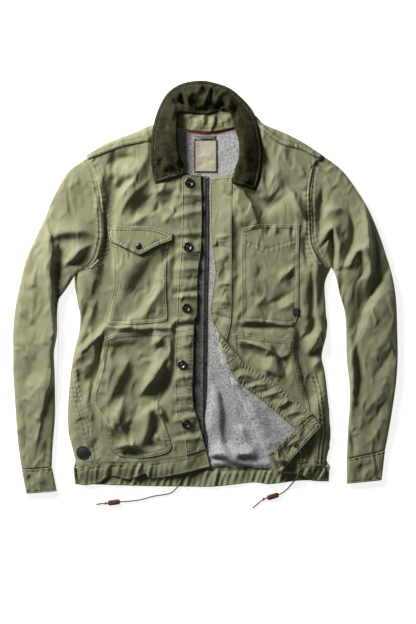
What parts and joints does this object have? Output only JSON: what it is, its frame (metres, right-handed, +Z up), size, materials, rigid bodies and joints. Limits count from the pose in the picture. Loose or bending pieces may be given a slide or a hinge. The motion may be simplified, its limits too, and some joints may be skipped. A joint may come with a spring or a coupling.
{
  "type": "chore coat laid flat",
  "caption": "Olive twill chore coat laid open-fronted on its back, pile collar, patch pockets, grey lining, right lower corner turned back, drawcord hem",
  "frame": {"origin": "middle of the laid coat, on the surface that it lies on", "axes": "X to the right as seen from above, Y from the hem towards the collar, Z up from the surface"},
  "size_m": [0.7703, 0.859, 0.0279],
  "materials": {
    "olive_twill": "washed cotton twill, matt, faded at seams and fold edges",
    "dark_pile": "short dense pile, dark olive",
    "heather_fleece": "brushed knit, light and dark grey mixed",
    "red_tape": "woven cotton tape",
    "grey_loop": "woven tape",
    "cream_label": "soft woven label, bare",
    "black_tab": "woven tab, bare",
    "dark_button": "dark worn button with a metal centre",
    "dark_metal": "dark oxidised metal",
    "zip_cloth": "woven zip tape with dark teeth",
    "black_badge": "matt round badge, plain",
    "olive_cord": "braided cord",
    "red_brown_toggle": "worn matt bead"
  },
  "bodies": {
    "root": {"back_lining": "heather_fleece", "back_panel": "olive_twill", "button_1": "dark_button", "button_2": "dark_button", "button_3": "dark_button", "button_4": "dark_button", "button_5": "dark_button", "chest_flap_left": "olive_twill", "chest_pocket_left": "olive_twill", "chest_pocket_right": "olive_twill", "collar": "dark_pile", "collar_stand": "olive_twill", "corner_facing": "olive_twill", "corner_hem_band": "olive_twill", "corner_lining": "heather_fleece", "corner_shell": "olive_twill", "cuff_left": "olive_twill", "cuff_right": "olive_twill", "drawcord_left": "olive_cord", "drawcord_right": "olive_cord", "flap_snap": "dark_metal", "front_left": "olive_twill", "front_right": "olive_twill", "hanger_loop": "grey_loop", "hem_badge": "black_badge", "hem_band_back": "olive_twill", "hem_band_left": "olive_twill", "hem_band_right": "olive_twill", "hem_eyelet": "dark_metal", "lower_pocket_left": "olive_twill", "lower_pocket_right": "olive_twill", "neck_label": "cream_label", "neck_tape": "red_tape", "placket_left": "olive_twill", "placket_right": "olive_twill", "pocket_tab": "black_tab", "sleeve_left": "olive_twill", "sleeve_right": "olive_twill", "toggle_left": "red_brown_toggle", "toggle_right": "red_brown_toggle", "yoke_left": "olive_twill", "yoke_right": "olive_twill", "zip_tape": "zip_cloth"}
  },
  "joints": []
}
